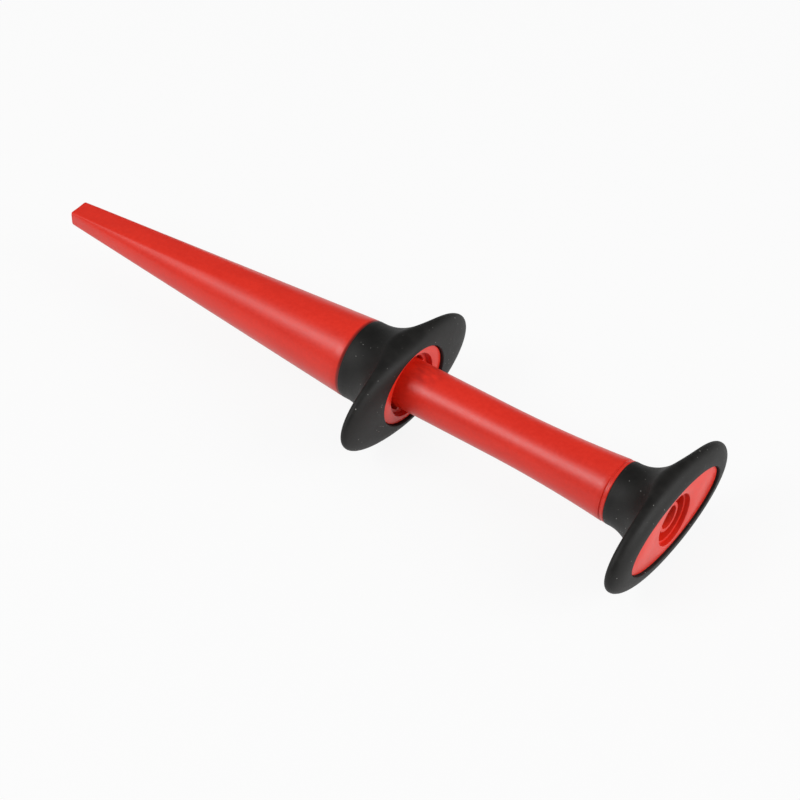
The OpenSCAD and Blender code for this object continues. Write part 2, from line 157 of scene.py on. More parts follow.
class GripSizes(bpy.types.PropertyGroup):
    """Sizes that both rubber grips share."""

    body_collar: length("Body collar radius", "Radius of the body grip's collar", 0.00725)
    body_lobe: length("Body lobe", "Rounding of the body grip's rim at the wings", 0.0007)
    body_middle: length("Body middle", "Rounding of the body grip's rim over the middle", 0.004)
    body_crown: length("Body crown", "Rise of the body grip's rear at the wings", 0.002)
    body_middle_crown: length("Body middle crown", "Rise of the body grip's rear over the middle", 0.0032)
    body_straight: length("Body collar length", "Straight collar of the body grip", 0.001)
    plunger_collar: length("Plunger collar radius", "Radius of the plunger grip's collar", 0.00565)
    plunger_lobe: length("Plunger lobe", "Rounding of the plunger grip's rim at the wings", 0.0008)
    plunger_middle: length("Plunger middle", "Rounding of the plunger grip's rim over the middle", 0.003)
    plunger_crown: length("Plunger crown", "Rise of the plunger grip's rear at the wings", 0.0019)
    plunger_middle_crown: length("Plunger middle crown", "Rise of the plunger grip's rear over the middle",
                                 0.0022)
    plunger_straight: length("Plunger collar length", "Straight collar of the plunger grip", 0.0007)
    plunger_core: length("Plunger core radius", "Radius of the core under the plunger's rubber", 0.0052)
    middle_fade: share("Middle fade", "How closely the broad rim keeps to the middle", 6.0, 12.0)
    lip: length("Lip rounding", "Rounding of the rubber round the oval faces", 0.00018)
    face_gap: length("Face gap", "Gap between the rubber and the oval faces", 0.00012)


class PlungerSizes(bpy.types.PropertyGroup):
    """Sizes of the plunger tube, its socket and the guide collar."""

    tube_radius: length("Tube radius", "Radius of the tube at the guide collar", 0.0045)
    rear_radius: length("Rear radius", "Radius of the tube at its rear lip", 0.0056)
    straight: length("Straight length", "Straight tube behind the guide collar", 0.017)
    hollow_radius: length("Hollow radius", "Radius of the tube's hollow front", 0.00375)
    # The patch behind the collar is partly scuffs from rubbing and partly painted shade from the collar
    rub_and_shade_reach: length("Rub reach", "Reach of the rubbed patch behind the guide collar", 0.0042)
    lug_height: length("Lug height", "Height of the retaining lugs", 0.0005)
    lug_length: length("Lug length", "Length of the retaining lugs", 0.0025)
    lug_width: length("Lug width", "Width of the retaining lugs", 0.0026)
    groove_width: length("Groove width", "Width of the groove before the lip", 0.0004)
    groove_depth: length("Groove depth", "Depth of the groove before the lip", 0.0002)
    lip_width: length("Lip width", "Width of the rear lip", 0.0005)
    face_plate: length("Face plate", "Thickness of the oval faces", 0.001)
    edge: length("Edge rounding", "Rounding of the moulded edges", 0.0002)
    well_radius: length("Well radius", "Radius of the well in the rear face", 0.00415)
    well_mouth: length("Well mouth", "Radius of the mouth above the well's ledge", 0.0047)
    ledge_depth: length("Ledge depth", "Depth of the well's ledge below the face", 0.0008)
    bulkhead: length("Bulkhead", "Wall between well and spring", 0.004)
    tail_hole: length("Tail hole radius", "Hole for the jack's tail", 0.00172)
    tower_radius: length("Tower radius", "Outside of the insulating tower", 0.00274)
    tower_bore: length("Tower bore", "Inside of the insulating tower", 0.00239)
    tower_mouth: length("Tower mouth", "Hole in the end of the tower", 0.00208)
    tower_base: length("Tower base", "Thickness of the tower's base", 0.002)
    flange_radius: length("Flange pocket radius", "Pocket for the jack's flange", 0.00299)
    flange_depth: length("Flange pocket depth", "Depth of the jack's flange pocket", 0.00082)
    guard: length("Guard", "Tower above the jack's sleeve", 0.00138)
    guide_hole: length("Guide hole radius", "Hole of the guide collar", 0.0047)
    guide_mouth: length("Guide mouth radius", "Wide mouth of the guide collar", 0.0059)
    guide_mouth_depth: length("Guide mouth depth", "Depth of the collar's wide mouth", 0.0011)
    notch_radius: length("Notch radius", "Reach of the guide collar's notches", 0.0051)
    notch_gap: length("Notch gap", "Gap beside the lugs in the notches", 0.0002)
    spigot_radius: length("Spigot radius", "Spigot of the guide collar", 0.00518)
    spigot_length: length("Spigot length", "Length of the guide collar's spigot", 0.003)
    notch_turn: turn("Notch angle", "Angle of the notches from the wings", 38.0)


class SpringSizes(bpy.types.PropertyGroup):
    """Sizes of the return spring."""

    wire: length("Wire", "Diameter of the wire", 0.0007)
    turns: bpy.props.IntProperty(name="Turns", description="Turns of the wire", default=18, min=6, max=40)
    travel: length("Travel", "Stroke of the plunger", travel)


class FinishColours(bpy.types.PropertyGroup):
    """Colours and gloss of the finishes."""

    red: colour("Red", "Moulded red plastic", (0.74, 0.022, 0.007))
    red_deep: colour("Deep red", "Darker streaks in the red plastic", (0.64, 0.016, 0.005))
    red_worn: colour("Worn red", "Rubbed edges of the red plastic", (0.84, 0.06, 0.035))
    # Painted shade: darkens the strip before the seam behind the nose, standing in for the shadow in the gap
    # between nose and rubber, not grime
    red_painted_seam_shade: colour("Shaded red", "Grime in the seam behind the nose", (0.14, 0.004, 0.003))
    # Partly painted shade: the darker red behind the guide collar mixes scuffs from rubbing with painted
    # shade where the collar shades the tube
    red_rubbed_and_shaded: colour("Rubbed red", "Blotches where the tube rubs in its collar", (0.44, 0.009, 0.004))
    rubber: colour("Rubber", "Soft black rubber", (0.0074, 0.0071, 0.0064))
    rubber_bloom: colour("Rubber bloom", "Greyer bloom on the rubber", (0.014, 0.0133, 0.0119))
    dust: colour("Dust", "Dust on the rubber", (0.38, 0.37, 0.35))
    nickel: colour("Nickel", "Nickel-plated contact metal", (0.70, 0.66, 0.58))
    steel: colour("Steel", "Bright spring steel", (0.55, 0.56, 0.58))
    ivory: colour("Ivory", "Thin insulating jacket", (0.72, 0.68, 0.56))


class StageSizes(bpy.types.PropertyGroup):
    """Camera and light of the stage."""

    azimuth: turn("Azimuth", "Turn of the camera round the tool", 36.995)
    elevation: turn("Elevation", "Height of the camera above the floor", 43.158)
    distance: length("Distance", "From the camera to the aim", 0.39456)
    aim: bpy.props.FloatVectorProperty(name="Aim", description="Point in the middle of the lens",
                                       default=(0.00005, 0.0, axis_z), subtype="TRANSLATION", unit="LENGTH")
    lens: bpy.props.FloatProperty(name="Lens", description="Focal length in millimetres", default=103.0,
                                  subtype="DISTANCE_CAMERA")
    shift: bpy.props.FloatVectorProperty(name="Shift", description="Shift of the lens that frames the tool",
                                         default=(0.0541, -0.0547), size=2)
    key_power: bpy.props.FloatProperty(name="Key light", description="Power of the front softbox",
                                       default=1.6, subtype="POWER", unit="POWER")
    side_power: bpy.props.FloatProperty(name="Side light", description="Power of the softbox at the socket",
                                        default=3.2, subtype="POWER", unit="POWER")
    room: share("Room light", "Brightness of the room round the stage", 0.5)
    room_gloss: share("Room in gloss", "Brightness of the room in reflections", 0.09)
    floor_white: share("Floor white", "Share of plain white in the floor", 0.9)
    floor_tone: share("Floor tone", "Lightness of the floor under the light", 0.62)


class TestHookSettings(bpy.types.PropertyGroup):
    """All settings of the test hook."""

    nose: bpy.props.PointerProperty(type=NoseSizes, name="Nose", description="Sizes of the nose")
    grips: bpy.props.PointerProperty(type=GripSizes, name="Grips", description="Sizes of the grips")
    plunger: bpy.props.PointerProperty(type=PlungerSizes, name="Plunger", description="Sizes of the plunger")
    spring: bpy.props.PointerProperty(type=SpringSizes, name="Spring", description="Sizes of the spring")
    finish: bpy.props.PointerProperty(type=FinishColours, name="Finish", description="Colours")
    stage: bpy.props.PointerProperty(type=StageSizes, name="Stage", description="Camera and light")


# Shapes round the axis of the tool

def spoke_angles(count, extra=()):
    """Even angles round the axis, with the exact angles of corners added and crowded ones dropped."""
    full = 2 * math.pi
    exact = sorted({round(a % full, 9) for a in extra})
    even = [full * i / count for i in range(count)]
    gap = full / count / 3
    kept = [a for a in even if all(abs((a - e + math.pi) % full - math.pi) > gap for e in exact)]
    return sorted(exact + kept)


def oval_radius(half_width, half_height, angle):
    """Radius of an oval in a direction measured from its wide axis."""
    return 1 / math.hypot(math.cos(angle) / half_width, math.sin(angle) / half_height)


def oval_ring(half_width, half_height, inset=0.0):
    """Radius of an oval, drawn in by an inset, as a function of the angle."""
    return lambda angle: oval_radius(half_width - inset, half_height - inset, angle)


def slot_radius(half_width, half_height, angle):
    """Radius of a rectangle in a direction."""
    wide = abs(math.cos(angle)) / half_width
    high = abs(math.sin(angle)) / half_height
    return 1 / max(wide, high)


def soft_least(first, second, blend):
    """The lesser of two lengths, blended where they are close."""
    near = max(blend - abs(first - second), 0) / blend
    return min(first, second) - near * near * blend / 4


def skin(name, loops, crease=38.0):
    """Closed skin over loops of stations round the axis, each loop running out and back inside."""
    work = bmesh.new()
    rows = [[work.verts.new((tip_x + x, y, axis_z + z)) for x, y, z in loop] for loop in loops]
    count = len(rows[0])
    for i, row in enumerate(rows):
        after = rows[(i + 1) % len(rows)]
        for k in range(count):
            step = (k + 1) % count
            work.faces.new((row[k], after[k], after[step], row[step]))
    bmesh.ops.remove_doubles(work, verts=work.verts, dist=1e-7)
    bmesh.ops.dissolve_degenerate(work, edges=work.edges, dist=1e-7)
    bmesh.ops.recalc_face_normals(work, faces=work.faces)
    for face in work.faces:
        face.smooth = True
    limit = math.radians(crease)
    for edge in work.edges:
        edge.smooth = len(edge.link_faces) == 2 and edge.calc_face_angle(0.0) < limit
    mesh = bpy.data.meshes.new(name)
    work.to_mesh(mesh)
    work.free()
    piece = bpy.data.objects.new(name, mesh)
    bpy.context.scene.collection.objects.link(piece)
    return piece


def turned(name, angles, rings, crease=38.0):
    """Closed skin through rings, each a station and a radius that may be a function of the angle."""
    loops = []
    for angle in angles:
        loop = []
        for station, radius in rings:
            r = radius(angle) if callable(radius) else radius
            loop.append((station, r * math.cos(angle), r * math.sin(angle)))
        loops.append(loop)
    return skin(name, loops, crease)


def dress(piece, body, material, slot, *nodes):
    """Gives a piece its finish, its body and the solids that it stands for."""
    piece.data.materials.clear()
    piece.data.materials.append(material)
    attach(piece, body)
    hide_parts(*nodes)


# Finishes

def fresh_finish(name):
    """A new finish with its shader and its place on the object in millimetres."""
    material = bpy.data.materials.new(name)
    material.use_nodes = True
    tree = material.node_tree
    shader = tree.nodes["Principled BSDF"]
    place = tree.nodes.new("ShaderNodeTexCoord")
    scale = tree.nodes.new("ShaderNodeMapping")
    scale.inputs["Scale"].default_value = (millimetres, millimetres, millimetres)
    tree.links.new(place.outputs["Object"], scale.inputs["Vector"])
    return material, tree, shader, scale.outputs["Vector"]


def grain(tree, place, scale, detail, rough, stretch=None):
    """Noise with a number of waves per millimetre, drawn out along an axis if a stretch is given."""
    noise = tree.nodes.new("ShaderNodeTexNoise")
    noise.inputs["Scale"].default_value = scale
    noise.inputs["Detail"].default_value = detail
    noise.inputs["Roughness"].default_value = rough
    if stretch:
        drawn = tree.nodes.new("ShaderNodeMapping")
        drawn.inputs["Scale"].default_value = stretch
        tree.links.new(place, drawn.inputs["Vector"])
        place = drawn.outputs["Vector"]
    tree.links.new(place, noise.inputs["Vector"])
    return noise.outputs["Fac"]


def spread(tree, value, limits, result):
    """Maps a value between two limits to a new range."""
    node = tree.nodes.new("ShaderNodeMapRange")
    node.inputs["From Min"].default_value = limits[0]
    node.inputs["From Max"].default_value = limits[1]
    node.inputs["To Min"].default_value = result[0]
    node.inputs["To Max"].default_value = result[1]
    tree.links.new(value, node.inputs["Value"])
    return node.outputs["Result"]


def mixed(tree, amount, first, second):
    """Mixes two colours, each a constant or a socket."""
    node = tree.nodes.new("ShaderNodeMix")
    node.data_type = "RGBA"
    tree.links.new(amount, node.inputs["Factor"])
    for side, value in (("A", first), ("B", second)):
        socket = [s for s in node.inputs if s.name == side and s.type == "RGBA"][0]
        if isinstance(value, bpy.types.NodeSocket):
            tree.links.new(value, socket)
        else:
            socket.default_value = (*value, 1.0)
    return [s for s in node.outputs if s.type == "RGBA"][0]


def combined(tree, kind, first, second):
    """Joins two values with a sum, a product or the like."""
    node = tree.nodes.new("ShaderNodeMath")
    node.operation = kind
    for index, value in enumerate((first, second)):
        if isinstance(value, bpy.types.NodeSocket):
            tree.links.new(value, node.inputs[index])
        else:
            node.inputs[index].default_value = value
    return node.outputs["Value"]


def raised(tree, height, strength, depth, under=None):
    """Bump from a height, over an earlier bump if one is given."""
    node = tree.nodes.new("ShaderNodeBump")
    node.inputs["Strength"].default_value = strength
    node.inputs["Distance"].default_value = depth
    tree.links.new(height, node.inputs["Height"])
    if under:
        tree.links.new(under, node.inputs["Normal"])
    return node.outputs["Normal"]


def worn_edges(tree):
    """How far a point stands out on an edge, from 0 to 1."""
    shape = tree.nodes.new("ShaderNodeNewGeometry")
    return spread(tree, shape.outputs["Pointiness"], (0.52, 0.60), (0.0, 1.0))


def specks(tree, place, scale, size, rare):
    """Scattered specks: 1 on a speck, with only the rarer cells showing one."""
    cells = tree.nodes.new("ShaderNodeTexVoronoi")
    cells.inputs["Scale"].default_value = scale
    cells.inputs["Randomness"].default_value = 1.0
    tree.links.new(place, cells.inputs["Vector"])
    near = spread(tree, cells.outputs["Distance"], (size, size * 0.55), (0.0, 1.0))
    split = tree.nodes.new("ShaderNodeSeparateColor")
    tree.links.new(cells.outputs["Color"], split.inputs["Color"])
    chosen = spread(tree, split.outputs["Red"], (rare, rare + 0.02), (0.0, 1.0))
    return combined(tree, "MULTIPLY", near, chosen)


def painted_seam_shade(tree, place, seam, width):
    """How far a point lies in the strip of painted shade before a seam across the axis, from 0 to 1."""
    split = tree.nodes.new("ShaderNodeSeparateXYZ")
    tree.links.new(place, split.inputs["Vector"])
    starts = (seam - width) * millimetres
    darkest = (seam - width * 0.4) * millimetres
    return spread(tree, split.outputs["X"], (starts, darkest), (0.0, 0.85))


def rubbed_and_shaded_patch(tree, place, middle, reach):
    """Soft blotches round a point, fading out at a reach, from 0 to 1: partly scuffs from rubbing and partly
    painted shade where the collar shades the tube.
    """
    away = tree.nodes.new("ShaderNodeVectorMath")
    away.operation = "DISTANCE"
    tree.links.new(place, away.inputs[0])
    away.inputs[1].default_value = [c * millimetres for c in middle]
    fades = reach * 0.4 * millimetres
    near = spread(tree, away.outputs["Value"], (fades, reach * millimetres), (1.0, 0.0))
    noise = grain(tree, place, 0.8, detail=2.0, rough=0.5, stretch=(0.6, 1.0, 1.0))
    blotches = spread(tree, noise, (0.40, 0.66), (0.0, 0.75))
    return combined(tree, "MULTIPLY", near, blotches)


def red_plastic(name, colours, seam=None, seam_width=0.0, patch=None, patch_reach=0.0):
    """Satin red moulding with flow streaks, grain and rubbed edges, and painted shade before a seam or a
    rubbed patch that is partly painted shade.
    """
    material, tree, shader, place = fresh_finish(name)
    streaks = grain(tree, place, 0.35, detail=4.0, rough=0.6, stretch=(0.25, 1.0, 1.0))
    clouds = grain(tree, place, 1.6, detail=5.0, rough=0.65)
    amount = spread(tree, combined(tree, "ADD", streaks, clouds), (0.75, 1.3), (0.0, 1.0))
    base = mixed(tree, amount, tuple(colours.red_deep), tuple(colours.red))
    uneven = spread(tree, clouds, (0.35, 0.7), (0.1, 0.55))
    edges = combined(tree, "MULTIPLY", worn_edges(tree), uneven)
    base = mixed(tree, edges, base, tuple(colours.red_worn))
    scuffs = combined(tree, "MULTIPLY", specks(tree, place, 0.9, size=0.10, rare=0.86), 0.35)
    base = mixed(tree, scuffs, base, tuple(colours.red_worn))
    # Painted shade: the red darkens towards the seam, standing in for the shadow in the gap there
    if seam is not None:
        base = mixed(tree, painted_seam_shade(tree, place, seam, seam_width), base, tuple(colours.red_painted_seam_shade))
    # Darker patch that is partly rubbing scuffs and partly painted shade
    if patch is not None:
        base = mixed(tree, rubbed_and_shaded_patch(tree, place, patch, patch_reach), base, tuple(colours.red_rubbed_and_shaded))
    tree.links.new(base, shader.inputs["Base Color"])
    fine = grain(tree, place, 11.0, detail=2.0, rough=0.5)
    gloss = combined(tree, "ADD", spread(tree, clouds, (0.3, 0.7), (0.33, 0.41)),
                     spread(tree, fine, (0.3, 0.7), (-0.02, 0.03)))
    tree.links.new(gloss, shader.inputs["Roughness"])
    wave = raised(tree, clouds, strength=0.06, depth=0.0002)
    tree.links.new(raised(tree, fine, strength=0.10, depth=0.00003, under=wave), shader.inputs["Normal"])
    shader.inputs["IOR"].default_value = 1.49
    shader.inputs["Specular IOR Level"].default_value = 0.5
    return material


def black_rubber(name, colours):
    """Soft matte rubber with bloom, mould grain, dust and paler rubbed edges."""
    material, tree, shader, place = fresh_finish(name)
    clouds = grain(tree, place, 0.45, detail=5.0, rough=0.65)
    fine = grain(tree, place, 7.0, detail=3.0, rough=0.6)
    bloom = spread(tree, clouds, (0.42, 0.72), (0.0, 0.9))
    base = mixed(tree, bloom, tuple(colours.rubber), tuple(colours.rubber_bloom))
    uneven = spread(tree, clouds, (0.35, 0.7), (0.1, 0.6))
    edges = combined(tree, "MULTIPLY", worn_edges(tree), uneven)
    base = mixed(tree, edges, base, tuple(colours.rubber_bloom))
    patchy = spread(tree, grain(tree, place, 0.18, detail=2.0, rough=0.5), (0.42, 0.62), (0.1, 1.0))
    small = combined(tree, "MULTIPLY", specks(tree, place, 1.7, size=0.18, rare=0.86), patchy)
    large = combined(tree, "MULTIPLY", specks(tree, place, 0.55, size=0.08, rare=0.70), patchy)
    dust = combined(tree, "MULTIPLY", combined(tree, "MAXIMUM", small, large), 0.9)
    base = mixed(tree, dust, base, tuple(colours.dust))
    tree.links.new(base, shader.inputs["Base Color"])
    matte = spread(tree, combined(tree, "ADD", clouds, fine), (0.7, 1.3), (0.52, 0.67))
    tree.links.new(matte, shader.inputs["Roughness"])
    wave = raised(tree, clouds, strength=0.10, depth=0.0003)
    tree.links.new(raised(tree, fine, strength=0.16, depth=0.00004, under=wave), shader.inputs["Normal"])
    shader.inputs["IOR"].default_value = 1.5
    shader.inputs["Specular IOR Level"].default_value = 0.34
    return material


def bright_metal(name, tint, roughness, stretch):
    """Plated or drawn metal with fine drawn lines and a little tarnish."""
    material, tree, shader, place = fresh_finish(name)
    clouds = grain(tree, place, 0.8, detail=4.0, rough=0.6)
    lines = grain(tree, place, 6.0, detail=3.0, rough=0.6, stretch=stretch)
    dull = tuple(c * 0.62 for c in tint)
    bare = tuple(min(c * 1.15, 1.0) for c in tint)
    tarnish = spread(tree, clouds, (0.48, 0.75), (0.0, 0.8))
    base = mixed(tree, tarnish, tint, dull)
    base = mixed(tree, worn_edges(tree), base, bare)
    tree.links.new(base, shader.inputs["Base Color"])
    gloss = spread(tree, combined(tree, "ADD", lines, clouds), (0.7, 1.3), roughness)
    tree.links.new(gloss, shader.inputs["Roughness"])
    tree.links.new(raised(tree, lines, strength=0.12, depth=0.00002), shader.inputs["Normal"])
    shader.inputs["Metallic"].default_value = 1.0
    return material


def ivory_jacket(name, colours):
    """Thin cream jacket with soft gloss and faint drawn lines."""
    material, tree, shader, place = fresh_finish(name)
    clouds = grain(tree, place, 1.0, detail=4.0, rough=0.6)
    lines = grain(tree, place, 5.0, detail=2.0, rough=0.5, stretch=(0.1, 1.0, 1.0))
    darker = tuple(c * 0.82 for c in colours.ivory)
    amount = spread(tree, clouds, (0.35, 0.7), (0.0, 0.8))
    tree.links.new(mixed(tree, amount, tuple(colours.ivory), darker), shader.inputs["Base Color"])
    tree.links.new(spread(tree, clouds, (0.3, 0.7), (0.36, 0.5)), shader.inputs["Roughness"])
    tree.links.new(raised(tree, lines, strength=0.12, depth=0.00003), shader.inputs["Normal"])
    return material


def finish_node(node, material, edge=0.0):
    """Gives a solid its finish and softens its edges."""
    solid = frame["nodes"][node]
    solid.data.materials.clear()
    solid.data.materials.append(material)
    if edge:
        soft = solid.modifiers.new("Soft edges", "BEVEL")
        soft.width = edge
        soft.segments = 2
        soft.limit_method = "ANGLE"
        soft.angle_limit = math.radians(40)


class TESTHOOK_OT_nose(bpy.types.Operator):
    """Nose cone with its fading flats, rounded mouth and slotted bore"""

    bl_idname = "test_hook.nose"
    bl_label = "Nose and barrel"

    def execute(self, context):
        size = context.scene.test_hook.nose
        slot = (size.slot_half_width, size.slot_half_height)
        corner = math.atan2(slot[1], slot[0])
        over = math.asin(slot[1] / size.guide_radius)
        side = math.acos(slot[0] / size.guide_radius)
        marks = []
        for a in (corner, over, side):
            marks += [a, math.pi - a, math.pi + a, -a]
        angles = spoke_angles(176, marks)
        long = size.nose_length
        slope = (size.seam_radius - size.tip_radius) / long

        def trimmed(station):
            cone = size.tip_radius + slope * station
            high_end = size.tip_radius + slope * size.flat_length
            wide_end = size.tip_radius + slope * size.side_flat_length
            high = size.tip_half_height + (high_end - size.tip_half_height) * station / size.flat_length
            wide = size.tip_half_width + (wide_end - size.tip_half_width) * station / size.side_flat_length
            blend = size.edge_softness + size.edge_fade * math.sin(math.pi * station / long)

            def radius(angle):
                top = high / max(abs(math.sin(angle)), 1e-3)
                flank = wide / max(abs(math.cos(angle)), 1e-3)
                return soft_least(cone, soft_least(top, flank, blend), blend)
            return radius

        def drawn_in(station, inset):
            outer = trimmed(station)
            return lambda angle: outer(angle) - inset

        seat = collar_low.x - tip_x + context.scene.test_hook.plunger.spigot_length
        plate = oval_ring(size.core_half_width, size.core_half_height)
        rings = [(seat, size.bore_radius), (seat, plate), (seat - size.core_plate, plate),
                 (seat - size.core_plate, size.core_radius), (long, size.core_radius)]
        edge = size.seam_bevel
        rings += [(long, size.seam_radius - edge * 0.5), (long - edge * 0.5, size.seam_radius - edge * 0.32),
                  (long - edge * 0.85, size.seam_radius - edge * 0.16),
                  (long - edge * 1.05, trimmed(long - edge))]
        cone_steps = 64
        crowding = 1.3
        round_end = size.mouth_rounding
        for i in range(cone_steps - 1, -1, -1):
            station = round_end + (long - 1.4 * edge - round_end) * (i / cone_steps) ** crowding
            rings.append((station, trimmed(station)))
        mouth_steps = 6
        for i in range(1, mouth_steps + 1):
            a = math.radians(90 * i / mouth_steps)
            station = round_end * (1 - math.sin(a))
            rings.append((station, drawn_in(round_end, round_end * (1 - math.cos(a)))))

        def slot_ring(grow):
            return lambda angle: slot_radius(slot[0] + grow, slot[1] + grow, angle)

        rings += [(along, slot_ring(out)) for along, out in zip(ease_along, ease_out)]
        rings += [(size.slot_depth, slot_ring(0.0)), (size.slot_depth, size.guide_radius),
                  (size.pocket_front, size.guide_radius), (size.pocket_front, size.pocket_radius),
                  (size.bore_front, size.pocket_radius), (size.bore_front, size.bore_radius)]
        piece = turned("nose_barrel_moulding", angles, rings)
        # The nose's red darkens before the rubber as painted shade for the gap at the seam
        plastic = red_plastic("red_nose_plastic", context.scene.test_hook.finish, body_low.x, edge * 1.3)
        dress(piece, "barrel", plastic, "red_plastic", "nose_barrel")
        return {"FINISHED"}


class TESTHOOK_OT_grips(bpy.types.Operator):
    """Both rubber grips: a round collar flaring out to two wings, with a crowned rear round the oval"""

    bl_idname = "test_hook.grips"
    bl_label = "Rubber grips"

    def grip(self, size, name, low, high, sizes, core, plate_depth, plate, mouth_depth, mouth):
        """One grip, as loops of points from the front of its collar over the crown into its mouth."""
        collar, lobes, crowns, straight = sizes
        lip = size.lip
        start = low.x - tip_x
        long = high.x - low.x
        wing = (high.y - low.y) / 2
        height = (high.z - low.z) / 2
        flare_steps = 24
        lobe_steps = 10
        crown_steps = 15

        def spoke(angle):
            middle = abs(math.sin(angle)) ** size.middle_fade
            lobe = lobes[0] + (lobes[1] - lobes[0]) * middle
            crown = crowns[0] + (crowns[1] - crowns[0]) * middle
            edge = long - crown
            reach = edge - straight
            top = oval_radius(wing, height, angle)
            inner = oval_radius(*mouth, angle)
            rise = top - lobe - collar
            flare = (reach * reach + rise * rise - lobe * lobe) / (2 * (rise + lobe))
            lean = math.atan2(rise - flare, reach)
            path = [(0.0, core)] + [(along, collar - out) for along, out in zip(ease_along, ease_out)]
            for i in range(flare_steps + 1):
                a = -math.pi / 2 + (lean + math.pi / 2) * i / flare_steps
                path.append((straight + flare * math.cos(a), collar + flare * (1 + math.sin(a))))
            for i in range(1, lobe_steps + 1):
                a = lean + math.pi - (lean + math.pi / 2) * i / lobe_steps
                path.append((edge + lobe * math.cos(a), top - lobe * (1 - math.sin(a))))
            fall = top - inner - lip * 1.5
            for i in range(1, crown_steps + 1):
                a = math.pi / 2 * (1 - i / crown_steps)
                path.append((edge + crown * math.cos(a), top - fall * (1 - math.sin(a))))
            path += [(long, inner + lip), (long - lip * 0.3, inner + lip * 0.3), (long - lip, inner)]
            held = oval_radius(*plate, angle)
            path += [(long - mouth_depth, inner), (long - mouth_depth, held),
                     (long - mouth_depth - plate_depth, held), (long - mouth_depth - plate_depth, core)]
            return [(start + x, r * math.cos(angle), r * math.sin(angle)) for x, r in path]

        squeeze = math.sqrt(wing / height)
        count = 200
        loops = []
        for i in range(count):
            t = 2 * math.pi * i / count
            loops.append(spoke(math.atan2(math.sin(t), squeeze * math.cos(t))))
        return skin(name, loops, 44.0)

    def execute(self, context):
        settings = context.scene.test_hook
        size = settings.grips
        nose = settings.nose
        plunger = settings.plunger
        gap = size.face_gap
        rubber = black_rubber("black_grip_rubber", settings.finish)
        seat = 0.00002
        collar_oval = ((collar_high.y - collar_low.y) / 2 + gap, (collar_high.z - collar_low.z) / 2 + gap)
        core_oval = (nose.core_half_width + seat, nose.core_half_height + seat)
        collar_seat = collar_low.x + plunger.spigot_length
        body_sizes = (size.body_collar, (size.body_lobe, size.body_middle),
                      (size.body_crown, size.body_middle_crown), size.body_straight)
        body = self.grip(size, "body_grip_rubber", body_low, body_high, body_sizes, nose.core_radius + seat,
                         nose.core_plate, core_oval, body_high.x - collar_seat, collar_oval)
        dress(body, "barrel", rubber, "black_rubber", "body_grip")
        half_width = (tube_high.y - tube_low.y) / 2
        half_height = (tube_high.z - tube_low.z) / 2
        rear_sizes = (size.plunger_collar, (size.plunger_lobe, size.plunger_middle),
                      (size.plunger_crown, size.plunger_middle_crown), size.plunger_straight)
        rear = self.grip(size, "plunger_grip_rubber", plunger_low, plunger_high, rear_sizes,
                         size.plunger_core + seat, plunger.face_plate,
                         (half_width + seat, half_height + seat), plunger_high.x - tube_high.x,
                         (half_width + gap, half_height + gap))
        dress(rear, "plunger", rubber, "black_rubber", "plunger_grip")
        return {"FINISHED"}


class TESTHOOK_OT_collar(bpy.types.Operator):
    """Oval guide collar with its round hole and two notches"""

    bl_idname = "test_hook.collar"
    bl_label = "Guide collar"

    def execute(self, context):
        settings = context.scene.test_hook
        size = settings.plunger
        wide = (collar_high.y - collar_low.y) / 2
        high = (collar_high.z - collar_low.z) / 2
        half = math.asin((size.lug_width / 2 + size.notch_gap) / size.notch_radius)
        marks = []
        for middle in (size.notch_turn, size.notch_turn + math.pi):
            for side in (-1, 1):
                marks += [middle + side * half, middle + side * (half + side_slope)]

        def hole(grow):
            def radius(angle):
                off = (angle - size.notch_turn + math.pi / 2) % math.pi - math.pi / 2
                return (size.notch_radius if abs(off) <= half + 1e-6 else size.guide_hole) + grow
            return radius

        front = collar_low.x - tip_x
        back = collar_high.x - tip_x
        edge = size.edge
        plate = front + size.spigot_length
        step = back - size.guide_mouth_depth
        wide_mouth = size.guide_mouth
        rings = [(front, hole(0.0)), (step - edge * 0.5, hole(0.0)), (step, hole(edge * 0.5)),
                 (step, wide_mouth), (back - edge, wide_mouth), (back - edge * 0.3, wide_mouth + edge * 0.3),
                 (back, wide_mouth + edge)]
        rings += [(back, oval_ring(wide, high, edge)), (back - edge * 0.3, oval_ring(wide, high, edge * 0.3)),
                  (back - edge, oval_ring(wide, high)), (plate, oval_ring(wide, high)),
                  (plate, size.spigot_radius), (front, size.spigot_radius)]
        piece = turned("guide_collar_moulding", spoke_angles(160, marks), rings, 42.0)
        plastic = red_plastic("red_collar_plastic", settings.finish)
        dress(piece, "barrel", plastic, "red_plastic", "guide_collar")
        return {"FINISHED"}


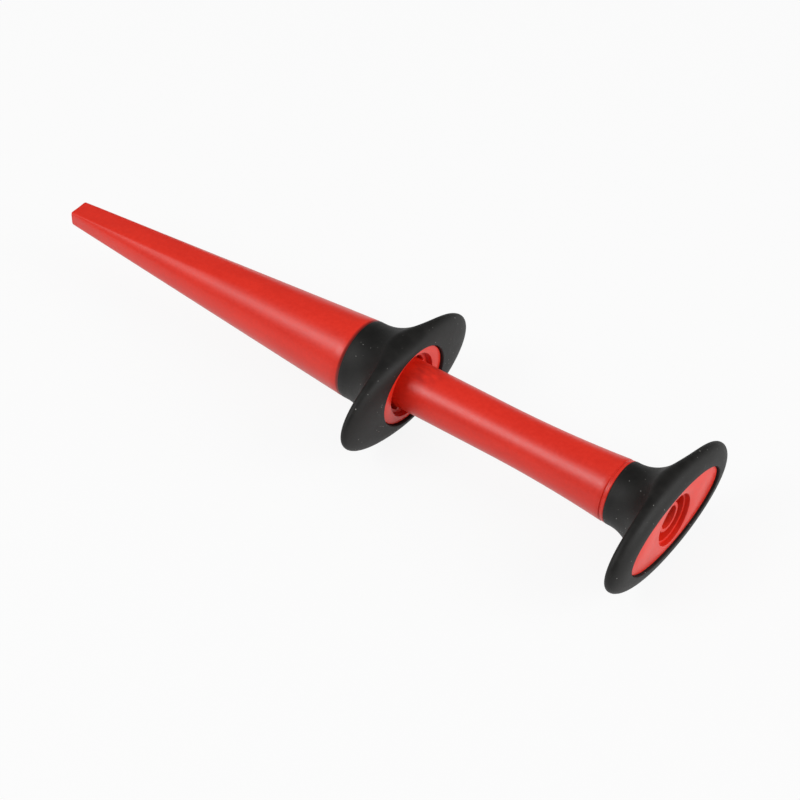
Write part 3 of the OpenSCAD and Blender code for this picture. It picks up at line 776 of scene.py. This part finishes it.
class TESTHOOK_OT_plunger(bpy.types.Operator):
    """Plunger tube with its lugs, flare, groove, lip, oval face and round well"""

    bl_idname = "test_hook.plunger"
    bl_label = "Plunger tube"

    def execute(self, context):
        settings = context.scene.test_hook
        size = settings.plunger
        front = tube_low.x - tip_x
        back = tube_high.x - tip_x
        lip_end = plunger_low.x - tip_x
        lug_r = size.tube_radius + size.lug_height
        half = math.asin(size.lug_width / 2 / lug_r)
        lug_turn = size.notch_turn + math.pi / 2
        marks = []
        for middle in (lug_turn, lug_turn + math.pi):
            for side in (-1, 1):
                marks += [middle + side * half, middle + side * (half + side_slope)]

        def lugged(angle):
            off = (angle - lug_turn + math.pi / 2) % math.pi - math.pi / 2
            return lug_r if abs(off) <= half + 1e-6 else size.tube_radius

        edge = size.edge
        wide = (tube_high.y - tube_low.y) / 2
        high = (tube_high.z - tube_low.z) / 2
        rings = [(front, size.hollow_radius), (front, lugged), (front + size.lug_length, lugged),
                 (front + size.lug_length, size.tube_radius)]
        flare_from = body_high.x - tip_x + size.straight
        after_lugs = 0.001
        before_flare = 0.0001
        lip_from = lip_end - size.lip_width
        groove_from = lip_from - size.groove_width
        groove_r = size.rear_radius - size.groove_depth
        tube_steps = 30
        plain_from = front + size.lug_length + after_lugs
        plain_run = flare_from - plain_from - before_flare
        for i in range(tube_steps):
            rings.append((plain_from + plain_run * i / tube_steps, size.tube_radius))
        for i in range(tube_steps + 1):
            t = i / tube_steps
            rings.append((flare_from + (groove_from - edge * 0.6 - flare_from) * t,
                          size.tube_radius + (size.rear_radius - size.tube_radius) * t * t))
        rings += [(groove_from - edge * 0.2, size.rear_radius - edge * 0.15),
                  (groove_from, size.rear_radius - edge * 0.6), (groove_from + edge * 0.3, groove_r),
                  (lip_from - edge * 0.3, groove_r), (lip_from, size.rear_radius - edge * 0.6),
                  (lip_from + edge * 0.2, size.rear_radius - edge * 0.15),
                  (lip_from + edge * 0.7, size.rear_radius), (lip_end - edge, size.rear_radius),
                  (lip_end - edge * 0.3, size.rear_radius - edge * 0.3), (lip_end, size.rear_radius - edge)]
        core = settings.grips.plunger_core
        plate = back - size.face_plate
        rings += [(lip_end, core), (plate, core), (plate, oval_ring(wide, high)),
                  (back - edge, oval_ring(wide, high)),
                  (back - edge * 0.3, oval_ring(wide, high, edge * 0.3)), (back, oval_ring(wide, high, edge))]
        well = size.well_radius
        mouth = size.well_mouth
        ledge = back - size.ledge_depth
        floor = tower_low.x - tip_x
        draft = 0.00003
        rings += [(back - along, mouth + out) for along, out in zip(ease_along, well_out)]
        rings.append((ledge, mouth - draft))
        rings += [(ledge - along, well + out) for along, out in zip(ease_along, well_out)]
        rings += [(floor, well), (floor, size.tail_hole), (floor - size.bulkhead, size.tail_hole),
                  (floor - size.bulkhead, size.hollow_radius)]
        piece = turned("plunger_tube_moulding", spoke_angles(176, marks), rings, 42.0)
        # Middle of the darker patch on top of the tube behind the collar: rubbing scuffs and painted shade
        rubbed = (body_high.x + size.rub_and_shade_reach * 0.5, 0.0, axis_z + size.tube_radius)
        plastic = red_plastic("red_plunger_plastic", settings.finish, patch=rubbed,
                              patch_reach=size.rub_and_shade_reach)
        dress(piece, "plunger", plastic, "red_plastic", "plunger_tube")
        return {"FINISHED"}


class TESTHOOK_OT_tower(bpy.types.Operator):
    """Insulating tower that stands in the well round the jack"""

    bl_idname = "test_hook.tower"
    bl_label = "Insulating tower"

    def execute(self, context):
        settings = context.scene.test_hook
        size = settings.plunger
        floor = tower_low.x - tip_x
        top = tower_high.x - tip_x
        edge = 0.00014
        base = floor + size.tower_base
        base_r = (tower_high.y - tower_low.y) / 2
        foot = 0.0004
        foot_steps = 4
        rings = [(floor, size.flange_radius), (floor, base_r), (base - edge, base_r), (base, base_r - edge)]
        for i in range(foot_steps + 1):
            a = math.radians(90 * i / foot_steps)
            rings.append((base + foot * (1 - math.cos(a)), size.tower_radius + foot * (1 - math.sin(a))))
        rings += [(top - edge, size.tower_radius), (top - edge * 0.3, size.tower_radius - edge * 0.3),
                  (top, size.tower_radius - edge), (top, size.tower_mouth + edge),
                  (top - edge * 0.3, size.tower_mouth + edge * 0.3), (top - edge, size.tower_mouth),
                  (top - size.guard, size.tower_mouth), (top - size.guard, size.tower_bore),
                  (floor + size.flange_depth, size.tower_bore),
                  (floor + size.flange_depth, size.flange_radius)]
        piece = turned("socket_tower_moulding", spoke_angles(112), rings)
        plastic = red_plastic("red_tower_plastic", settings.finish)
        dress(piece, "plunger", plastic, "red_plastic", "socket_insert")
        return {"FINISHED"}


class TESTHOOK_OT_spring(bpy.types.Operator):
    """Return spring of round wire with closed end turns"""

    bl_idname = "test_hook.spring"
    bl_label = "Return spring"

    def execute(self, context):
        settings = context.scene.test_hook
        size = settings.spring
        wire = size.wire / 2
        around = 12
        steps = 32
        rings = size.turns * steps
        mean = (spring_high.y - spring_low.y) / 2 - wire
        climb = spring_high.x - spring_low.x - size.wire
        closed_turns = 1.5
        closed_pitch = size.wire * 1.05
        closed = closed_turns / size.turns
        slow = closed_pitch * size.turns / climb
        quick = (1 - 2 * closed * slow) / (1 - 2 * closed)

        def lift(t):
            if t < closed:
                return t * slow
            if t > 1 - closed:
                return 1 - (1 - t) * slow
            return closed * slow + (t - closed) * quick

        work = bmesh.new()
        rows = []
        for i in range(rings + 1):
            angle = 2 * math.pi * i / steps
            row = []
            for k in range(around):
                a = 2 * math.pi * k / around
                r = mean + wire * math.cos(a)
                row.append(work.verts.new((spring_low.x + wire + climb * lift(i / rings) + wire * math.sin(a),
                                           r * math.cos(angle), axis_z + r * math.sin(angle))))
            rows.append(row)
        for first, second in zip(rows, rows[1:]):
            for k in range(around):
                step = (k + 1) % around
                work.faces.new((first[k], first[step], second[step], second[k]))
        work.faces.new(rows[0])
        work.faces.new(rows[-1])
        bmesh.ops.recalc_face_normals(work, faces=work.faces)
        for face in work.faces:
            face.smooth = len(face.verts) == 4
        mesh = bpy.data.meshes.new("return_spring_wire")
        work.to_mesh(mesh)
        work.free()
        piece = bpy.data.objects.new("return_spring_wire", mesh)
        context.scene.collection.objects.link(piece)
        steel = bright_metal("spring_wire_steel", tuple(settings.finish.steel), (0.2, 0.36), (1.0, 0.3, 0.3))
        dress(piece, "barrel", steel, "spring_steel", "return_spring")
        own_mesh(piece)
        return {"FINISHED"}


class TESTHOOK_OT_jack(bpy.types.Operator):
    """Metal of the jack and the washers"""

    bl_idname = "test_hook.jack"
    bl_label = "Jack and washers"

    def execute(self, context):
        finish = context.scene.test_hook.finish
        nickel = bright_metal("jack_nickel_plate", tuple(finish.nickel), (0.22, 0.4), (0.12, 1.0, 1.0))
        steel = bright_metal("washer_bright_steel", tuple(finish.steel), (0.28, 0.45), (1.0, 0.4, 0.4))
        finish_node("jack_contact", nickel)
        for node in ("jack_clip_ring", "jack_lock_washer", "spring_washer"):
            finish_node(node, steel, edge=0.00004)
        return {"FINISHED"}


class TESTHOOK_OT_hook(bpy.types.Operator):
    """Hook, its rod and rivet, and the thin jacket round it"""

    bl_idname = "test_hook.hook"
    bl_label = "Hook and rod"

    def execute(self, context):
        finish = context.scene.test_hook.finish
        nickel = bright_metal("hook_nickel_plate", tuple(finish.nickel), (0.2, 0.36), (0.1, 1.0, 1.0))
        for node, edge in (("hook_rod", 0.0), ("hook_blade", 0.00006), ("blade_rivet", 0.00004)):
            finish_node(node, nickel, edge)
        finish_node("hook_jacket", ivory_jacket("hook_jacket_sleeve", finish), edge=0.00009)
        return {"FINISHED"}


class TESTHOOK_OT_stage(bpy.types.Operator):
    """White floor, soft studio light and the camera"""

    bl_idname = "test_hook.stage"
    bl_label = "Stage"

    def softbox(self, context, name, towards, away, width, depth, power):
        """An area lamp that looks at the middle of the tool from a direction."""
        lamp = bpy.data.lights.new(name, "AREA")
        lamp.shape = "RECTANGLE"
        lamp.size = width
        lamp.size_y = depth
        lamp.energy = power
        holder = bpy.data.objects.new(name, lamp)
        context.scene.collection.objects.link(holder)
        direction = Vector(towards).normalized()
        holder.location = Vector((0, 0, axis_z)) + direction * away
        holder.rotation_mode = "QUATERNION"
        holder.rotation_quaternion = direction.to_track_quat("Z", "Y")

    def execute(self, context):
        scene = context.scene
        size = scene.test_hook.stage
        self.floor(context, size)
        self.room(context, size)
        self.softbox(context, "front_softbox", towards=(-0.40, -0.63, 0.66), away=0.55, width=0.34, depth=0.2,
                     power=size.key_power)
        self.softbox(context, "side_softbox", towards=(0.85, 0.3, 0.42), away=0.7, width=0.5, depth=0.4,
                     power=size.side_power)
        self.camera(context, size)
        scene.view_settings.view_transform = "Standard"
        return {"FINISHED"}

    def floor(self, context, size):
        """A wide floor that is plain white to the camera and in gloss, and keeps the tool's shadow."""
        mesh = bpy.data.meshes.new("studio_floor")
        half = 4.0
        corners = [(-half, -half, 0), (half, -half, 0), (half, half, 0), (-half, half, 0)]
        mesh.from_pydata(corners, [], [(0, 1, 2, 3)])
        floor = bpy.data.objects.new("studio_floor", mesh)
        floor_gap = 0.0002
        floor.location.z = cad_box[0][2] - floor_gap
        context.scene.collection.objects.link(floor)
        material = bpy.data.materials.new("studio_white")
        material.use_nodes = True
        tree = material.node_tree
        shader = tree.nodes["Principled BSDF"]
        shader.inputs["Base Color"].default_value = (*[size.floor_tone] * 3, 1)
        shader.inputs["Roughness"].default_value = 0.9
        shader.inputs["Specular IOR Level"].default_value = 0.1
        glow = tree.nodes.new("ShaderNodeEmission")
        glow.inputs["Strength"].default_value = 1.0
        path = tree.nodes.new("ShaderNodeLightPath")
        seen = combined(tree, "MAXIMUM", path.outputs["Is Camera Ray"], path.outputs["Is Glossy Ray"])
        seen = combined(tree, "MAXIMUM", seen, path.outputs["Is Transmission Ray"])
        blend = tree.nodes.new("ShaderNodeMixShader")
        tree.links.new(combined(tree, "MULTIPLY", seen, size.floor_white), blend.inputs["Fac"])
        tree.links.new(shader.outputs["BSDF"], blend.inputs[1])
        tree.links.new(glow.outputs["Emission"], blend.inputs[2])
        tree.links.new(blend.outputs["Shader"], tree.nodes["Material Output"].inputs["Surface"])
        mesh.materials.append(material)

    def room(self, context, size):
        """An even white room, plain white to the camera and dimmer in gloss."""
        world = bpy.data.worlds.new("studio_room")
        context.scene.world = world
        world.use_nodes = True
        tree = world.node_tree
        sky = tree.nodes["Background"]
        sky.inputs["Color"].default_value = (1, 1, 1, 1)
        path = tree.nodes.new("ShaderNodeLightPath")
        level = spread(tree, path.outputs["Is Glossy Ray"], (0.0, 1.0), (size.room, size.room_gloss))
        seen = combined(tree, "MAXIMUM", path.outputs["Is Camera Ray"], path.outputs["Is Transmission Ray"])
        tree.links.new(combined(tree, "MAXIMUM", level, seen), sky.inputs["Strength"])

    def camera(self, context, size):
        """A camera at the viewing angle, with its lens shifted to frame the tool."""
        lens = bpy.data.cameras.new("view_camera")
        lens.lens = size.lens
        lens.sensor_width = 36.0
        lens.shift_x = size.shift[0]
        lens.shift_y = size.shift[1]
        lens.clip_start = 0.01
        lens.clip_end = 20.0
        camera = bpy.data.objects.new("view_camera", lens)
        context.scene.collection.objects.link(camera)
        a = size.azimuth
        e = size.elevation
        right = Vector((math.cos(a), math.sin(a), 0))
        back = Vector((math.sin(a) * math.cos(e), -math.cos(a) * math.cos(e), math.sin(e)))
        up = back.cross(right)
        spot = Vector(size.aim) + size.distance * back
        camera.matrix_world = Matrix.Translation(spot) @ Matrix((right, up, back)).transposed().to_4x4()
        context.scene.camera = camera


class TESTHOOK_PT_panel(bpy.types.Panel):
    """Lists the steps that build the test hook"""

    bl_idname = "TESTHOOK_PT_panel"
    bl_label = "Test hook"
    bl_space_type = "VIEW_3D"
    bl_region_type = "UI"
    bl_category = "Test hook"

    def draw(self, context):
        for step in steps:
            self.layout.operator(step.bl_idname, text=step.bl_label)


steps = (TESTHOOK_OT_nose, TESTHOOK_OT_grips, TESTHOOK_OT_collar, TESTHOOK_OT_plunger, TESTHOOK_OT_tower,
         TESTHOOK_OT_spring, TESTHOOK_OT_jack, TESTHOOK_OT_hook, TESTHOOK_OT_stage)
groups = (NoseSizes, GripSizes, PlungerSizes, SpringSizes, FinishColours, StageSizes, TestHookSettings)


def register():
    """Registers the settings, the steps and the panel."""
    for kind in (*groups, *steps, TESTHOOK_PT_panel):
        bpy.utils.register_class(kind)
    bpy.types.Scene.test_hook = bpy.props.PointerProperty(type=TestHookSettings, name="Test hook",
                                                          description="Settings of the test hook")


def unregister():
    """Removes what register added."""
    del bpy.types.Scene.test_hook
    for kind in reversed((*groups, *steps, TESTHOOK_PT_panel)):
        bpy.utils.unregister_class(kind)


def main():
    """Builds the test hook."""
    register()
    bpy.ops.test_hook.nose()
    bpy.ops.test_hook.grips()
    bpy.ops.test_hook.collar()
    bpy.ops.test_hook.plunger()
    bpy.ops.test_hook.tower()
    bpy.ops.test_hook.spring()
    bpy.ops.test_hook.jack()
    bpy.ops.test_hook.hook()
    bpy.ops.test_hook.stage()


if __name__ == "__main__":
    main()
